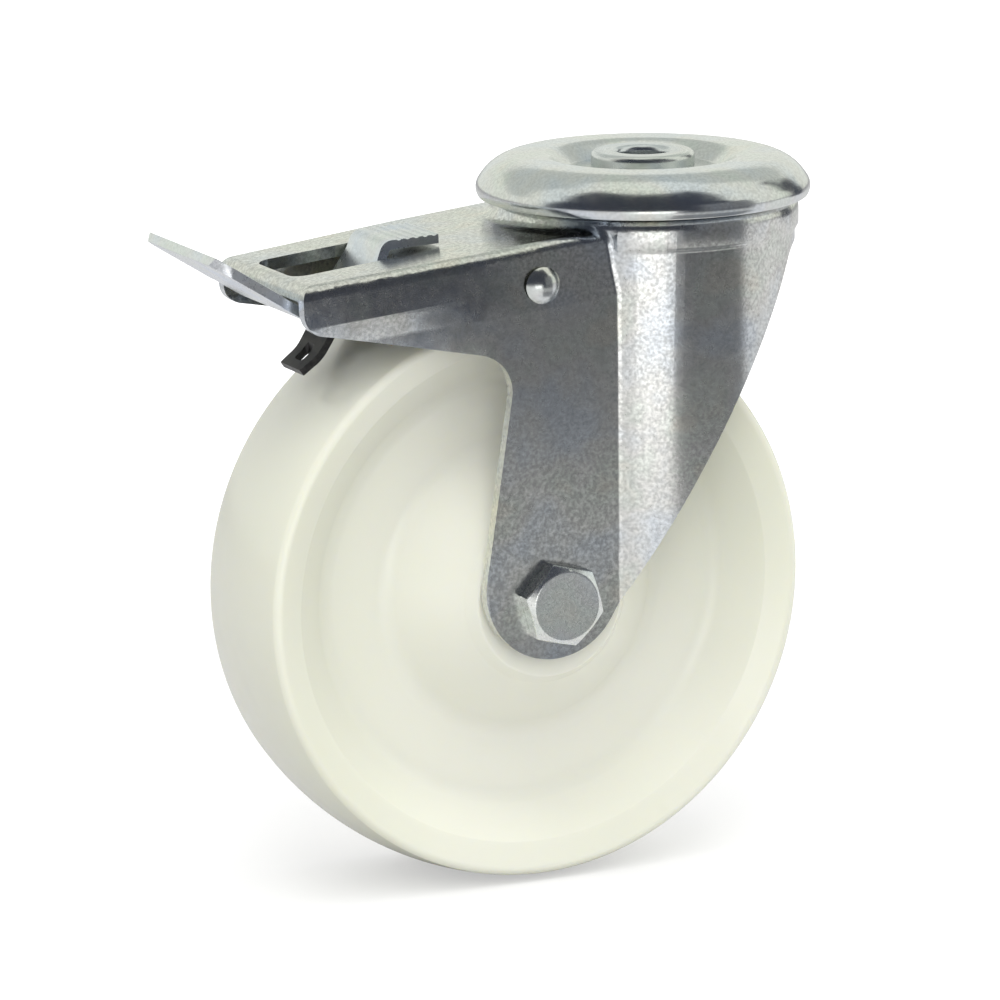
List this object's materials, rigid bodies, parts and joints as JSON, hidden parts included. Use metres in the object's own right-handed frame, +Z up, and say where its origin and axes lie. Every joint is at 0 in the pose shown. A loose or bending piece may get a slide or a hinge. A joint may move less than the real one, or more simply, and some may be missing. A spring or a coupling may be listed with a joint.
{
  "type": "braked swivel castor",
  "caption": "Swivel castor with a bolt-hole head, a pressed steel fork, a solid plastic wheel and a pedal brake that holds the wheel and the swivel.",
  "frame": {"origin": "middle of the bolt hole on the mounting face of the head, which is the top of the hub", "axes": "+Z up the swivel axis, +X horizontal and away from the pedal, so that the wheel trails and the pedal points along -X, and the head of the axle bolt is on the -Y side"},
  "size_m": [0.1421, 0.0747, 0.152],
  "materials": {
    "zinc_head": "bright zinc plate on pressed steel",
    "zinc_pin": "bright zinc plate on turned steel",
    "zinc_race": "zinc plate, lightly greased",
    "zinc_fork": "bright blue-white zinc plate on pressed sheet",
    "zinc_axle": "zinc plate",
    "zinc_bolt": "bright zinc plate",
    "zinc_pedal": "bright zinc plate on stamped sheet",
    "black_spring_steel": "blackened spring steel, satin",
    "bearing_steel": "polished hardened steel",
    "cage_plastic": "plain moulded plastic",
    "white_polyamide": "cream-white polyamide, glossy and slightly translucent"
  },
  "bodies": {
    "head": {"top_plate": "zinc_head", "king_pin": "zinc_pin", "upper_balls": "bearing_steel", "upper_cage": "cage_plastic", "lower_balls": "bearing_steel", "lower_cage": "cage_plastic", "lower_race": "zinc_race", "lock_ring": "zinc_race"},
    "fork": {"fork": "zinc_fork", "axle_tube": "zinc_axle", "hub_washers": "zinc_axle", "axle_bolt": "zinc_bolt", "nut_washer": "zinc_bolt", "axle_nut": "zinc_bolt", "pivot_rivet": "zinc_bolt"},
    "wheel": {"wheel": "white_polyamide", "bearing_rollers": "bearing_steel", "roller_cage": "cage_plastic"},
    "pedal": {"brake_pedal": "zinc_pedal"},
    "leaf": {"brake_leaf": "black_spring_steel"}
  },
  "joints": [
    {"name": "swivel", "type": "hinge", "parent": "head", "child": "fork", "pos_m": [0, 0, -0.01], "axis": [0, 0, 1], "continuous": true},
    {"name": "wheel_spin", "type": "hinge", "parent": "fork", "child": "wheel", "pos_m": [-0.033, 0, -0.0895], "axis": [0, 1, 0], "continuous": true},
    {"name": "pedal_rock", "type": "hinge", "parent": "fork", "child": "pedal", "pos_m": [-0.0627, 0, -0.0159], "axis": [0, -1, 0], "range_deg": [0, 23]},
    {"name": "leaf_rock", "type": "hinge", "parent": "fork", "child": "leaf", "pos_m": [-0.036, 0, -0.022], "axis": [0, -1, 0], "range_deg": [0, 7.2]}
  ],
  "couplings": [
    {"joint": "leaf_rock", "follows": "pedal_rock", "ratio": 0.31}
  ]
}
